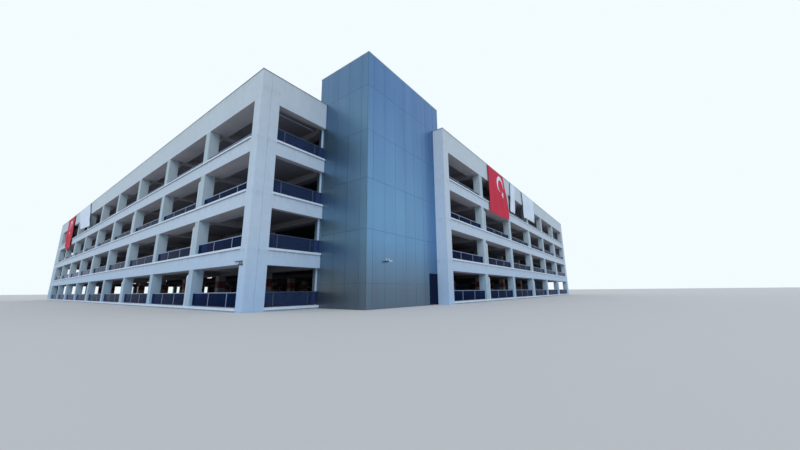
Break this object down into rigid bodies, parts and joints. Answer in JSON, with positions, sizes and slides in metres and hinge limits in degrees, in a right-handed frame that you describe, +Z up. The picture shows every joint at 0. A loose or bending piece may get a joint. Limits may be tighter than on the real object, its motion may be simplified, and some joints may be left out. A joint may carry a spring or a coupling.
{
  "type": "half-scale model of a multi storey car park",
  "caption": "Open-sided multi storey car park with white spandrel bands, pillars, guard rails and a clad stair tower with a hinged door.",
  "frame": {"origin": "centre of the bounding box, at ground level", "axes": "+Z up, +X along the front from the long left facade to the far end of the wing, +Y from the front to the back"},
  "size_m": [30.5702, 38.2602, 8.11],
  "materials": {
    "white_wall": "smooth painted render",
    "white_sill": "painted precast coping",
    "bare_concrete": "bare cast concrete",
    "column_paint": "painted concrete with a coloured band",
    "grey_capping": "folded grey sheet",
    "guard_metal": "satin",
    "guard_glass": "dark blue tinted",
    "tower_concrete": "bare cast concrete",
    "blue_cladding": "satin blue grey panels",
    "door_paint": "dark satin",
    "door_steel": "satin",
    "red_fabric": "matt woven",
    "white_fabric": "matt woven",
    "light_cover": "opal"
  },
  "bodies": {
    "building": {"banner_battens": "guard_metal", "banners_red": "red_fabric", "banners_white": "white_fabric", "ceiling_lights": "light_cover", "corner_piers": "white_wall", "deck_level_1": "bare_concrete", "deck_level_2": "bare_concrete", "deck_level_3": "bare_concrete", "door_frame": "door_paint", "end_post": "white_wall", "facade_pillars": "white_wall", "ground_slab": "bare_concrete", "guard_frames_level_0": "guard_metal", "guard_frames_level_1": "guard_metal", "guard_frames_level_2": "guard_metal", "guard_frames_level_3": "guard_metal", "guard_glass": "guard_glass", "inner_columns_level_0": "column_paint", "inner_columns_level_1": "column_paint", "inner_columns_level_2": "column_paint", "inner_columns_level_3": "column_paint", "parapet_caps": "grey_capping", "parapets": "white_wall", "plinths": "white_wall", "ring_beams": "bare_concrete", "roof_deck": "bare_concrete", "row_beams": "bare_concrete", "sills": "white_sill", "spandrels_level_1": "white_wall", "spandrels_level_2": "white_wall", "spandrels_level_3": "white_wall", "tower_caps": "grey_capping", "tower_cladding_front": "blue_cladding", "tower_cladding_left": "blue_cladding", "tower_cladding_over_roof": "blue_cladding", "tower_floor": "bare_concrete", "tower_roof": "bare_concrete", "tower_wall_back": "tower_concrete", "tower_wall_beside_door": "tower_concrete", "tower_wall_front": "tower_concrete", "tower_wall_left": "tower_concrete", "tower_wall_over_door": "tower_concrete", "tower_wall_right": "tower_concrete"},
    "door": {"door_leaf": "door_paint", "door_handle": "door_steel"}
  },
  "joints": [
    {"name": "tower_door", "type": "hinge", "parent": "building", "child": "door", "pos_m": [-9.55385, -18.65085, 0.5], "axis": [0, 0, -1], "range_deg": [0, 100]}
  ]
}
